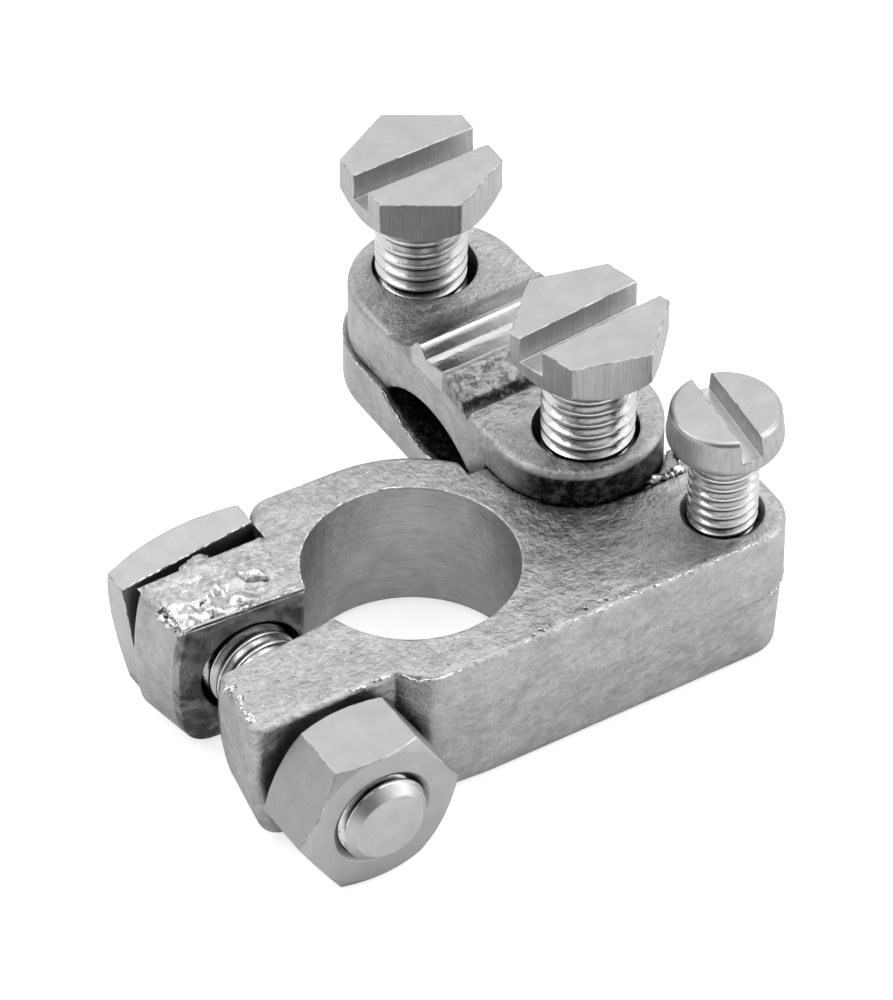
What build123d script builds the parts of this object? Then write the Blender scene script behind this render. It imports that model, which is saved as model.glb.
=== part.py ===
"""Battery terminal clamp: a cast clamp with a cable saddle, its clamp bolt and nut, the saddle's cap and
its two screws, and a wire screw on the arm.

The origin is on the post bore's axis, at the bottom face. +X runs along the arm, away from the clamp ears.
-Y is the side of the clamp nut. +Z is up, away from the battery.
"""

import os
from math import cos, radians, sqrt, tan

from build123d import *

# Running clearance on the radius, between a screw and the hole that it turns or slides in.
THREAD_CLEARANCE = 0.05
# Gap between the cap and the casting that it sits in, where they face each other.
SEAT_CLEARANCE = 0.2
# Gap between the square head and the shoulder that stops it turning.
HEAD_CLEARANCE = 0.1

# Clamp ring and plate
PLATE_HEIGHT = 13.0
RING_RADIUS = 13.0
PARTING_HEIGHT = PLATE_HEIGHT / 2
LOWER_DRAFT = 3.5
EDGE_ROUND = 0.6

# Post bore: a 1:9 taper, wide end down, with a short straight land at its wide end
POST_RADIUS = 9.05
POST_LAND = 2.0
POST_TAPER = 1 / 9

# Ears and the slot between them
FRONT_EAR_END = -20.5
FRONT_EAR_BULGE = 30.0
FRONT_EAR_CREST = PLATE_HEIGHT - 3.5
FRONT_EAR_CORNER = 1.0
BACK_EAR_END = -20.8
BACK_EAR_BULGE = 25.0
BACK_EAR_CREST = PARTING_HEIGHT
EAR_END_SLANT = 10.0
EAR_FOOT_ROUND = 2.5
EAR_MIDDLE = 6.7
FRONT_EAR_FACE = -10.4
BACK_EAR_FACE = 9.6
BACK_EAR_CROWN = 0.15
BACK_EAR_TAPER = 0.2
BACK_EAR_CORNER = 1.6
BACK_EAR_ROUND = 1.1
SLOT_NEAR = (-2.4, 2.0)
SLOT_FAR = (-3.5, 3.0)

# Shoulders on the ring, which stop the square head and guard the nut
BACK_SHOULDER = (-8.6, 13.2)
BACK_SHOULDER_ROUND = 2.6
FRONT_SHOULDER = (-6.4, -12.6)
FRONT_SHOULDER_ROUND = 1.2

# Arm with the wire screw
ARM_END = 30.0
ARM_LOWER_SHIFT = -0.2
ARM_BACK = -2.3
ARM_CORNER = 4.2

# Clamp bolt, square head, M8
M8_RADIUS = 3.94
CLAMP_AXIS_X = -13.8
CLAMP_AXIS_Z = PLATE_HEIGHT / 2 - 0.05
CLAMP_HOLE_RADIUS = 4.6
CLAMP_HEAD_GAP = 1.05
CLAMP_BOLT_PROTRUSION = 1.3
CLAMP_HEAD_SIDE = 12.45
CLAMP_HEAD_HEIGHT = 4.5
CLAMP_HEAD_DOME = 19.0
CLAMP_HEAD_TURN = 7.7
CLAMP_HEAD_SHIFT = -0.27
CLAMP_BOLT_TIP = 0.85

# Clamp nut, M8
NUT_ACROSS_FLATS = 13.0
NUT_HEIGHT = 6.5
NUT_GAP = 1.15
NUT_TURN = 1.6
NUT_HOLE_CHAMFER = (0.5, 0.35)

# Where the bolt's head and the nut stand along Y, and how long the bolt must be to pass through the nut
CLAMP_HEAD_BEARING = BACK_EAR_FACE + CLAMP_HEAD_GAP
NUT_BEARING = FRONT_EAR_FACE - NUT_GAP
CLAMP_BOLT_LENGTH = CLAMP_HEAD_BEARING - NUT_BEARING + NUT_HEIGHT + CLAMP_BOLT_PROTRUSION

# Cable saddle
SADDLE_X = 18.7
SADDLE_Y = 15.5
SADDLE_HALF_STRAIGHT = 10.25
SEAT_RADIUS = 8.1
SEAT_SHIFT = -0.2
SEAT_HEIGHT = 10.5
SEAT_UNDERSIDE = 5.5
SEAT_FOOT_ROUND = 0.8
TROUGH_HALF_WIDTH = 6.5
TROUGH_DEPTH = 2.1
WEB_BACK = 7.5
WEB_SLOPE = (4.9, 3.0)
WEB_INSET = 0.3
GUSSET_BREAK = 20.0
GUSSET_HEIGHT = 12.7
GUSSET_OVERLAP = 4.6

# Saddle cap
CAP_RADIUS = 7.6
CAP_TURN = 1.4
CAP_TOP = 16.4
CAP_EDGE_ROUND = 0.6
CAP_LIFT_GAP = 0.05
# The ridge over the cap: Y across the cap, and height above its top face
RIDGE_FRONT = ((-5.75, 0), (-5.2, 0.9), (-2.7, 2.2), (0.3, 1.6), (0.9, 2.3))
RIDGE_CREST = (1.5, 2.55)
RIDGE_BACK = ((2.1, 2.2), (3.6, 0.8), (6.2, 0))
CAP_ARCH_HALF_WIDTH = 6.2
CAP_ARCH_RISE = 2.6
CAP_ARCH_OFFSET = 0.2
CAP_HOLE_OFFSET = 12.15
CAP_HOLE_RADIUS = 4.5

# Saddle screws, slotted hexagon head, M8
SADDLE_SCREW_FRONT = (19.1, 3.2)
SADDLE_SCREW_REAR = (18.1, 27.75)
SADDLE_HEAD_TOP_FRONT = 28.4
SADDLE_HEAD_TOP_REAR = 28.0
SADDLE_HEAD_ACROSS_FLATS = 11.8
SADDLE_HEAD_HEIGHT = 4.4
SADDLE_HEAD_FOOT_RADIUS = 5.4
SADDLE_SCREW_LENGTH = 16.0
SADDLE_THREAD_LENGTH = 10.0
SADDLE_SCREW_TIP = 0.8
SADDLE_SLOT_WIDTH = 2.45
SADDLE_SLOT_DEPTH = 2.5
FRONT_HEAD_TURN = -15.0
FRONT_SLOT_TURN = 4.5
REAR_HEAD_TURN = 28.0
REAR_SLOT_TURN = 0.5

# Coarse threads, cut as far down the screws as they ever show. The flats are shares of the pitch.
M8_PITCH = 1.25
M8_THREAD_DEPTH = 0.7
M6_PITCH = 1.0
M6_THREAD_DEPTH = 0.56
THREAD_ROOT_FLAT = 0.12
THREAD_CREST_FLAT = 0.24

# Wire screw, cheese head, M6
WIRE_SCREW = (25.05, -8.05)
M6_RADIUS = 2.94
WIRE_HEAD_TOP = 24.3
WIRE_HEAD_HEIGHT = 3.9
WIRE_HEAD_RADIUS = 5.05
WIRE_HEAD_FOOT_ROUND = 1.4
WIRE_HEAD_CROWN_RADIUS = 4.6
WIRE_SLOT_WIDTH = 1.85
WIRE_SLOT_DEPTH = 2.0
WIRE_SLOT_TURN = 83.9
WIRE_SCREW_LENGTH = 12.0
WIRE_THREAD_LENGTH = 10.4
WIRE_SCREW_TIP = 0.7
WIRE_HEAD_ROUND = 0.5
WIRE_HOLE_CHAMFER = 0.6


def arc_radius(half_width, rise):
    """Radius of the circle through the ends and the crown of an arch."""
    return (half_width**2 + rise**2) / (2 * rise)


def stadium(half_straight, radius):
    """Two half-circles joined by straight sides, long along Y, about the origin."""
    return SlotCenterToCenter(2 * half_straight, 2 * radius, rotation=90)


def prism(face, bottom, top):
    """A flat face, drawn at Z 0, extruded from one height to another."""
    return extrude(Pos(0, 0, bottom) * face, top - bottom)


def ear_end(side, end, bulge, crest):
    """Everything inboard of an ear's rounded end, which reaches furthest at the crest's height.

    side is -1 for the front ear, 1 for the back ear.
    """
    centre = end + bulge
    top = centre - sqrt(bulge**2 - (PLATE_HEIGHT - crest) ** 2)
    foot = centre - sqrt(bulge**2 - crest**2)
    with BuildSketch(Plane.XZ) as outline:
        with BuildLine():
            arc = ThreePointArc((foot, 0), (end, crest), (top, PLATE_HEIGHT))
            Polyline(arc @ 1, (0, PLATE_HEIGHT), (0, 0), arc @ 0)
        make_face()
        left = outline.vertices().sort_by(Axis.X)[:2].sort_by(Axis.Y)
        fillet(left[0], EAR_FOOT_ROUND)
    slab = extrude(outline.sketch, 2 * RING_RADIUS, both=True)
    return Pos(0, side * EAR_MIDDLE, 0) * Rot(0, 0, side * EAR_END_SLANT) * slab


def shoulder(point, radius):
    """The ring drawn out to a rounded corner."""
    x, y = point
    inset = radius if y > 0 else -radius
    corner = Pos(x + radius, y - inset) * Circle(radius)
    return make_hull((Circle(RING_RADIUS) + corner).edges())


def clamp_plate():
    """The plate that joins ring, arm and saddle, with its top edge rounded and its lower half drafted."""
    arm_front = -RING_RADIUS
    arm = make_hull(
        (
            Pos(ARM_END - ARM_CORNER, arm_front + ARM_CORNER) * Circle(ARM_CORNER)
            + Pos(ARM_END - ARM_CORNER, ARM_BACK - ARM_CORNER) * Circle(ARM_CORNER)
            + Pos(1, (arm_front + ARM_BACK) / 2) * Rectangle(2, ARM_BACK - arm_front)
        ).edges()
    )
    # the ring and the arm are filled in as far as the cap's front end
    lobe_left = SADDLE_X - CAP_RADIUS
    lobe_y = sqrt(RING_RADIUS**2 - lobe_left**2)
    fill = Polygon(
        (0, 0),
        (0, ARM_BACK - 2),
        (GUSSET_BREAK, ARM_BACK - 2),
        (GUSSET_BREAK, lobe_y),
        (lobe_left, lobe_y),
        align=None,
    )
    back = shoulder(BACK_SHOULDER, BACK_SHOULDER_ROUND)
    front = shoulder(FRONT_SHOULDER, FRONT_SHOULDER_ROUND)
    outline = back + front + arm + fill
    upper = extrude(Pos(0, 0, PARTING_HEIGHT) * outline, PLATE_HEIGHT - PARTING_HEIGHT)
    upper = fillet(upper.faces().sort_by(Axis.Z)[-1].edges(), EDGE_ROUND)
    lower = prism(fill, 0, PARTING_HEIGHT)
    # the halves of the mould don't quite meet at the arm's end
    for piece, shift in ((back, 0), (front, 0), (arm, ARM_LOWER_SHIFT)):
        piece = Pos(shift, 0, PARTING_HEIGHT) * piece
        lower = lower + extrude(piece, -PARTING_HEIGHT, taper=LOWER_DRAFT)
    # the back shoulder's wall lies along the square head
    room = CLAMP_HEAD_SIDE + 2 * HEAD_CLEARANCE
    head_room = Rot(0, -CLAMP_HEAD_TURN, 0) * Box(room, RING_RADIUS, room)
    head_x = CLAMP_AXIS_X + CLAMP_HEAD_SHIFT
    return upper + lower - Pos(head_x, RING_RADIUS, CLAMP_AXIS_Z) * head_room


def round_ear(ear, side, corner, edge_round):
    """Round an ear's outer end corner, then its top edges, apart from those in the ring or the slot."""
    outer_face = ear.faces().sort_by(Axis.Y)[0 if side < 0 else -1]
    outer_end = outer_face.edges().filter_by(lambda edge: edge.center().X < CLAMP_AXIS_X - M8_RADIUS)
    upright = outer_end.filter_by(lambda edge: 0.1 < edge.center().Z < PLATE_HEIGHT - 0.1)
    ear = fillet(upright, corner)
    top = ear.faces().sort_by(Axis.Z)[-1].edges()
    outer = top.filter_by(lambda edge: edge.center().X < FRONT_SHOULDER[0] and side * edge.center().Y > 1)
    return fillet(outer, edge_round)


def ears():
    """The two clamp ears, without the slot and the bolt hole."""
    reach = 1.1 * min(FRONT_EAR_END, BACK_EAR_END)
    front = Polygon((reach, FRONT_EAR_FACE), (0, FRONT_EAR_FACE), (0, 0), (reach, 0), align=None)
    end = (reach, BACK_EAR_FACE - BACK_EAR_TAPER)
    with BuildSketch() as back:
        with BuildLine():
            crown = ThreePointArc(
                end, (CLAMP_AXIS_X, BACK_EAR_FACE + BACK_EAR_CROWN), (BACK_SHOULDER[0], BACK_EAR_FACE)
            )
            Polyline(crown @ 1, (0, BACK_EAR_FACE), (0, 0), (reach, 0), end)
        make_face()
    front_end = ear_end(-1, FRONT_EAR_END, FRONT_EAR_BULGE, FRONT_EAR_CREST)
    back_end = ear_end(1, BACK_EAR_END, BACK_EAR_BULGE, BACK_EAR_CREST)
    front_ear = prism(front, 0, PLATE_HEIGHT) & front_end
    back_ear = prism(back.sketch, 0, PLATE_HEIGHT) & back_end
    front_ear = round_ear(front_ear, -1, FRONT_EAR_CORNER, EDGE_ROUND)
    return front_ear + round_ear(back_ear, 1, BACK_EAR_CORNER, BACK_EAR_ROUND)


def ear_slot():
    """The slot that lets the ring close, wider towards its mouth."""
    inner = -POST_RADIUS / 2
    start = -POST_RADIUS
    mouth = 1.1 * min(FRONT_EAR_END, BACK_EAR_END)
    plan = Polygon(
        (inner, SLOT_NEAR[0]),
        (inner, SLOT_NEAR[1]),
        (start, SLOT_NEAR[1]),
        (mouth, SLOT_FAR[1]),
        (mouth, SLOT_FAR[0]),
        (start, SLOT_NEAR[0]),
        align=None,
    )
    return prism(plan, 0, PLATE_HEIGHT)


def post_bore():
    """The tapered bore with its land."""
    taper_height = PLATE_HEIGHT - POST_LAND
    wide_radius = POST_RADIUS + taper_height * POST_TAPER / 2
    taper = Pos(0, 0, POST_LAND + taper_height / 2) * Cone(wide_radius, POST_RADIUS, taper_height)
    land = Pos(0, 0, POST_LAND / 2) * Cylinder(wide_radius, POST_LAND)
    return taper + land


def saddle_seat():
    """The seat under the cap, with the web and the gusset that carry it on the ring and the arm."""
    seat_x = SADDLE_X + SEAT_SHIFT
    seat_plan = Pos(seat_x, SADDLE_Y) * stadium(SADDLE_HALF_STRAIGHT, SEAT_RADIUS)
    seat = prism(seat_plan, SEAT_UNDERSIDE, SEAT_HEIGHT)
    seat = fillet(seat.faces().sort_by(Axis.Z)[0].edges(), SEAT_FOOT_ROUND)
    right = seat_x + SEAT_RADIUS - WEB_INSET
    web_plan = Polygon(
        (0, ARM_BACK - 2), (right, ARM_BACK - 2), (right, WEB_BACK), (RING_RADIUS / 2, WEB_BACK), align=None
    )
    web = prism(web_plan, 0, SEAT_HEIGHT)
    underside = web.faces().sort_by(Axis.Y)[-1].edges().sort_by(Axis.Z)[0]
    web = chamfer(underside, WEB_SLOPE[0], WEB_SLOPE[1])
    gusset_back = SADDLE_Y - SADDLE_HALF_STRAIGHT - GUSSET_OVERLAP
    gusset_plan = Polygon(
        (SADDLE_X, ARM_BACK - 1),
        (right, ARM_BACK - 1),
        (right, gusset_back),
        (SADDLE_X, gusset_back),
        align=None,
    )
    return seat + web + prism(gusset_plan, SEAT_HEIGHT - 1, GUSSET_HEIGHT)


def clamp_body():
    """The casting: ring, ears, arm and cable saddle in one piece."""
    body = clamp_plate() + ears() + saddle_seat()

    # pocket for the cap, open over the whole seat but clear of the ring
    pocket_plan = stadium(SADDLE_HALF_STRAIGHT, CAP_RADIUS + SEAT_CLEARANCE)
    pocket = cap_place() * prism(pocket_plan, SEAT_HEIGHT, CAP_TOP)
    pocket = pocket - prism(Circle(RING_RADIUS), 0, CAP_TOP)

    trough_radius = arc_radius(TROUGH_HALF_WIDTH, TROUGH_DEPTH)
    trough_centre = SEAT_HEIGHT - TROUGH_DEPTH + trough_radius
    trough_length = 2 * (SEAT_RADIUS + SEAT_FOOT_ROUND)
    trough = Rot(0, 90, 0) * Cylinder(trough_radius, trough_length)
    trough = Pos(SADDLE_X + SEAT_SHIFT, SADDLE_Y, trough_centre) * trough

    clamp_hole = Cylinder(CLAMP_HOLE_RADIUS, 2 * RING_RADIUS)
    clamp_hole = Pos(CLAMP_AXIS_X, 0, CLAMP_AXIS_Z) * Rot(90, 0, 0) * clamp_hole
    body = body - pocket - trough - ear_slot() - post_bore() - clamp_hole
    middle = PLATE_HEIGHT / 2
    for x, y in (SADDLE_SCREW_FRONT, SADDLE_SCREW_REAR):
        body = body - Pos(x, y, middle) * Cylinder(M8_RADIUS + THREAD_CLEARANCE, 2 * PLATE_HEIGHT)
    wire_x, wire_y = WIRE_SCREW
    body = body - Pos(wire_x, wire_y, middle) * Cylinder(M6_RADIUS + THREAD_CLEARANCE, 2 * PLATE_HEIGHT)
    mouth = Cone(M6_RADIUS, M6_RADIUS + WIRE_HOLE_CHAMFER, WIRE_HOLE_CHAMFER)
    return body - Pos(wire_x, wire_y, PLATE_HEIGHT - WIRE_HOLE_CHAMFER / 2) * mouth


def cap_place():
    """Where the cap stands on its seat."""
    return Pos(SADDLE_X, SADDLE_Y, 0) * Rot(0, 0, CAP_TURN)


def saddle_cap():
    """The cap that presses the cable into the trough."""
    bottom = SEAT_HEIGHT + CAP_LIFT_GAP
    cap = prism(stadium(SADDLE_HALF_STRAIGHT, CAP_RADIUS), bottom, CAP_TOP)
    rounds = cap.faces().sort_by(Axis.Z)[-1].edges()
    cap = fillet(rounds, CAP_EDGE_ROUND)

    with BuildSketch(Plane.YZ) as ridge:
        with BuildLine():
            front = Polyline(*RIDGE_FRONT)
            ThreePointArc(front @ 1, RIDGE_CREST, RIDGE_BACK[0])
            back = Spline(*RIDGE_BACK, tangents=((0.5, -1), (1, -0.05)))
            root = -CAP_EDGE_ROUND
            Polyline(back @ 1, (RIDGE_BACK[-1][0], root), (RIDGE_FRONT[0][0], root), front @ 0)
        make_face()
    hump = Pos(0, 0, CAP_TOP) * extrude(ridge.sketch, CAP_RADIUS, both=True)
    cap = cap + hump

    arch_radius = arc_radius(CAP_ARCH_HALF_WIDTH, CAP_ARCH_RISE)
    arch_centre = SEAT_HEIGHT + CAP_ARCH_RISE - arch_radius
    arch = Pos(0, CAP_ARCH_OFFSET, arch_centre) * Rot(0, 90, 0) * Cylinder(arch_radius, 4 * CAP_RADIUS)
    cap = cap - arch
    for side in (-1, 1):
        cap = cap - Pos(0, side * CAP_HOLE_OFFSET, CAP_TOP) * Cylinder(CAP_HOLE_RADIUS, 2 * CAP_TOP)
    cap = cap_place() * cap
    ring_clearance = Cylinder(RING_RADIUS + SEAT_CLEARANCE, PLATE_HEIGHT + SEAT_CLEARANCE)
    return cap - Pos(0, 0, (PLATE_HEIGHT + SEAT_CLEARANCE) / 2) * ring_clearance


def threaded_shank(radius, pitch, depth, length, thread_length, tip):
    """A screw's shank below Z 0: a helical thread as far as it ever shows, then plain to a chamfered tip."""
    middle = -thread_length / 2
    root = radius - depth
    overrun = thread_length + 2 * pitch
    path = Helix(pitch, overrun, root, center=(0, 0, -thread_length - pitch))
    foot = pitch * (1 - THREAD_ROOT_FLAT) / 2
    crest = pitch * THREAD_CREST_FLAT / 2
    sink = depth / 7
    with BuildSketch(Plane(origin=path @ 0, x_dir=(1, 0, 0), z_dir=path % 0)) as profile:
        with BuildLine():
            Polyline((-sink, -foot), (depth, -crest), (depth, crest), (-sink, foot), (-sink, -foot))
        make_face()
    ridge = sweep(profile.sketch, path=path, is_frenet=True)
    thread = Pos(0, 0, middle) * Cylinder(root, overrun) + ridge
    thread = thread & Pos(0, 0, middle) * Cylinder(2 * radius, thread_length)
    end = Pos(0, 0, -(length + thread_length) / 2) * Cylinder(radius, length - thread_length)
    end = chamfer(end.edges().sort_by(Axis.Z)[0], tip)
    end = chamfer(end.edges().sort_by(Axis.Z)[-1], 0.9 * depth)
    return thread + end


def clamp_bolt():
    """Square-head bolt through both ears."""
    side = CLAMP_HEAD_SIDE
    head = Pos(0, 0, CLAMP_HEAD_HEIGHT / 2) * Box(side, side, CLAMP_HEAD_HEIGHT)
    dome = Pos(0, 0, CLAMP_HEAD_HEIGHT - CLAMP_HEAD_DOME) * Sphere(CLAMP_HEAD_DOME)
    head = head & dome
    shank = Pos(0, 0, -CLAMP_BOLT_LENGTH / 2) * Cylinder(M8_RADIUS, CLAMP_BOLT_LENGTH)
    shank = chamfer(shank.edges().sort_by(Axis.Z)[0], CLAMP_BOLT_TIP)
    bolt = Pos(CLAMP_HEAD_SHIFT, 0, 0) * Rot(0, 0, -CLAMP_HEAD_TURN) * head + shank
    return Pos(CLAMP_AXIS_X, CLAMP_HEAD_BEARING, CLAMP_AXIS_Z) * Rot(-90, 0, 0) * bolt


def clamp_nut():
    """Hexagon nut, chamfered on both faces."""
    blank = extrude(RegularPolygon(NUT_ACROSS_FLATS / 2, 6, major_radius=False), NUT_HEIGHT)
    corner = NUT_ACROSS_FLATS / 2 / cos(radians(30))
    rise = (corner - NUT_ACROSS_FLATS / 2) * tan(radians(30))
    face_radius = NUT_ACROSS_FLATS / 2
    wide = Pos(0, 0, NUT_HEIGHT / 2) * Cylinder(NUT_ACROSS_FLATS, NUT_HEIGHT - 2 * rise)
    low = Pos(0, 0, rise / 2) * Cone(face_radius, corner, rise)
    high = Pos(0, 0, NUT_HEIGHT - rise / 2) * Cone(corner, face_radius, rise)
    nut = blank & (wide + low + high)
    bore_radius = M8_RADIUS + THREAD_CLEARANCE
    nut = nut - Pos(0, 0, NUT_HEIGHT / 2) * Cylinder(bore_radius, NUT_HEIGHT)
    nut = chamfer(nut.edges().filter_by(GeomType.CIRCLE).sort_by(SortBy.RADIUS)[:2], *NUT_HOLE_CHAMFER)
    place = Pos(CLAMP_AXIS_X, NUT_BEARING, CLAMP_AXIS_Z) * Rot(90, 0, 0)
    return place * Rot(0, 0, NUT_TURN) * nut


def saddle_screw(axis, head_top, head_turn, slot_turn):
    """Slotted hexagon-head screw, with the head's underside coned."""
    height = SADDLE_HEAD_HEIGHT
    head = extrude(RegularPolygon(SADDLE_HEAD_ACROSS_FLATS / 2, 6, major_radius=False), height)
    foot = SADDLE_HEAD_FOOT_RADIUS
    head = head & Pos(0, 0, height / 2) * Cone(foot, foot + height, height)
    head = Rot(0, 0, head_turn) * head
    slot = Box(2 * SADDLE_HEAD_ACROSS_FLATS, SADDLE_SLOT_WIDTH, 2 * SADDLE_SLOT_DEPTH)
    head = head - Pos(0, 0, height) * Rot(0, 0, slot_turn) * slot
    shank = threaded_shank(
        M8_RADIUS, M8_PITCH, M8_THREAD_DEPTH, SADDLE_SCREW_LENGTH, SADDLE_THREAD_LENGTH, SADDLE_SCREW_TIP
    )
    return Pos(axis[0], axis[1], head_top - height) * (head + shank)


def wire_screw():
    """Cheese-head screw for an accessory wire."""
    height = WIRE_HEAD_HEIGHT
    head = Pos(0, 0, height / 2) * Cone(WIRE_HEAD_RADIUS, WIRE_HEAD_CROWN_RADIUS, height)
    head = fillet(head.edges().sort_by(Axis.Z)[-1], WIRE_HEAD_ROUND)
    head = fillet(head.edges().sort_by(Axis.Z)[0], WIRE_HEAD_FOOT_ROUND)
    slot = Box(4 * WIRE_HEAD_RADIUS, WIRE_SLOT_WIDTH, 2 * WIRE_SLOT_DEPTH)
    head = head - Pos(0, 0, height) * Rot(0, 0, WIRE_SLOT_TURN) * slot
    shank = threaded_shank(
        M6_RADIUS, M6_PITCH, M6_THREAD_DEPTH, WIRE_SCREW_LENGTH, WIRE_THREAD_LENGTH, WIRE_SCREW_TIP
    )
    return Pos(WIRE_SCREW[0], WIRE_SCREW[1], WIRE_HEAD_TOP - height) * (head + shank)


os.makedirs("parts", exist_ok=True)
NODES = {
    "clamp_body": clamp_body(),
    "saddle_cap": saddle_cap(),
    "clamp_bolt": clamp_bolt(),
    "clamp_nut": clamp_nut(),
    "saddle_screw_front": saddle_screw(
        SADDLE_SCREW_FRONT, SADDLE_HEAD_TOP_FRONT, FRONT_HEAD_TURN, FRONT_SLOT_TURN
    ),
    "saddle_screw_rear": saddle_screw(
        SADDLE_SCREW_REAR, SADDLE_HEAD_TOP_REAR, REAR_HEAD_TURN, REAR_SLOT_TURN
    ),
    "wire_screw": wire_screw(),
}
for name, shape in NODES.items():
    export_step(shape, f"parts/{name}.step")
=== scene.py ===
import math
import random

import bmesh
import bpy
from mathutils import Matrix, Vector, noise


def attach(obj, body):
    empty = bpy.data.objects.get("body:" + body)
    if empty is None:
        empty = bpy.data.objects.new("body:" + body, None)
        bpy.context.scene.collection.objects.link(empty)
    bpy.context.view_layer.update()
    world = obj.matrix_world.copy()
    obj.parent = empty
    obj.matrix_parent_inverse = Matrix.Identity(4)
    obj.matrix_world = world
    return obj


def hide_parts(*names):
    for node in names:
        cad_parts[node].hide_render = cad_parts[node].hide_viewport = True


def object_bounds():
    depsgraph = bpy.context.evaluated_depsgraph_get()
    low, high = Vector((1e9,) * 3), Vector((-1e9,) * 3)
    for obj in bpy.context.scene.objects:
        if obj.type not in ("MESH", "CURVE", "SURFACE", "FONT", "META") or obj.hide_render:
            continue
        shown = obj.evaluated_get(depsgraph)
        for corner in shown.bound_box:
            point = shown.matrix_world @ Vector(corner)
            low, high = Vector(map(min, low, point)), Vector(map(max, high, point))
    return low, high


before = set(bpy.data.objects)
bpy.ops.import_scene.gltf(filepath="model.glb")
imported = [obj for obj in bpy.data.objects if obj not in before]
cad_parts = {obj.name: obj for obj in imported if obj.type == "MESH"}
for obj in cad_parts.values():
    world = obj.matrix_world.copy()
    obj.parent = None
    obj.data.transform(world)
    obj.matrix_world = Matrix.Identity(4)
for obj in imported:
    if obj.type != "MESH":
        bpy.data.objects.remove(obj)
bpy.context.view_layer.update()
MM = 0.001
random.seed(7)

# Threads: outer radius, pitch and depth
M8_THREAD = (3.94, 1.25, 0.70)
M6_THREAD = (2.94, 1.0, 0.56)
# A thread's mesh: columns around it and rows in a pitch
THREAD_COLUMNS = 72
THREAD_ROWS = 14
# A thread's section as shares of its pitch: half the crest's flat, and the flank
CREST_FLAT = 0.12
FLANK = 0.32
# Above the tip a thread starts after this many mm, and is full this much further up
THREAD_START = 0.3
THREAD_RUN_IN = 1.2
# Burrs: step along them in mm, and corners of their section
BURR_STEP = 0.11
BURR_SIDES = 7
# Steps in an arc along which a burr runs
ARC_STEPS = 24
# Corners of the gate's stub, and points along each of its sides
STUB_CORNERS = ((-0.5, 0.0), (-0.12, -0.5), (0.5, -0.08), (0.1, 0.5))
STUB_SIDE_POINTS = 4
# Two points in mm closer than this are one
WELD = 1e-4
# Samples of the bevel and ambient occlusion nodes
NODE_SAMPLES = 6
# Casting, in mm: its top face, and how near the bore's axis the frozen metal comes
PLATE_TOP = 13.0
BORE_KEEP = 9.1
# Frozen metal on the ear, in mm: the grid's outer end, back end, and step along X
EAR_TOP_START = -20.3
EAR_TOP_BACK = 9.45
EAR_TOP_STEP = 0.11
EAR_TOP_COLUMNS = 108
EAR_TOP_ROWS = 70
# How far it reaches past the slot's edge, how soon it runs out at its edges, and how deep it ends there
SLOT_REACH = 0.04
EAR_TOP_FADE = 0.6
EAR_TOP_SINK = 0.4
# How much the floor adds for the camera, and for what the metal mirrors
SEEN_FLOOR = 0.72
MIRRORED_FLOOR = 0.1
# Floor in metres: its side, and the gap under the object
FLOOR_SIZE = 6.0
FLOOR_GAP = 0.00003
# The sky's lobes: direction, the cosines where each starts and is full, and what it adds
SKY_LOBES = (
    # behind the camera
    ((-0.45, -0.72, 0.62), 0.70, 0.93, -0.90),
    # left
    ((-0.79, 0.62, 0.0), 0.70, 0.95, -0.70),
    # strip overhead
    ((0.39, 0.10, 0.92), 0.93, 0.985, 2.2),
    # back
    ((0.39, 0.62, 0.68), 0.80, 0.96, 0.08),
)
# Where the lamps point, in metres
LAMP_TARGET = (0.006, 0.006, 0.01)
# Camera: sensor and focal length in mm, nearest and farthest view and place in metres
SENSOR_WIDTH = 36.0
FOCAL_LENGTH = 253.54
CLIP_START = 0.05
CLIP_END = 20.0
CAMERA_AT = Vector((-0.2184406, -0.3566289, 0.4052426))
# Where each screw's head meets its shank
CLAMP_BOLT_AT = (-13.8, 10.65, 6.45)
FRONT_SCREW_AT = (19.1, 3.2, 24.0)
REAR_SCREW_AT = (18.1, 27.75, 23.6)
WIRE_SCREW_AT = (25.05, -8.05, 20.4)


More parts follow.
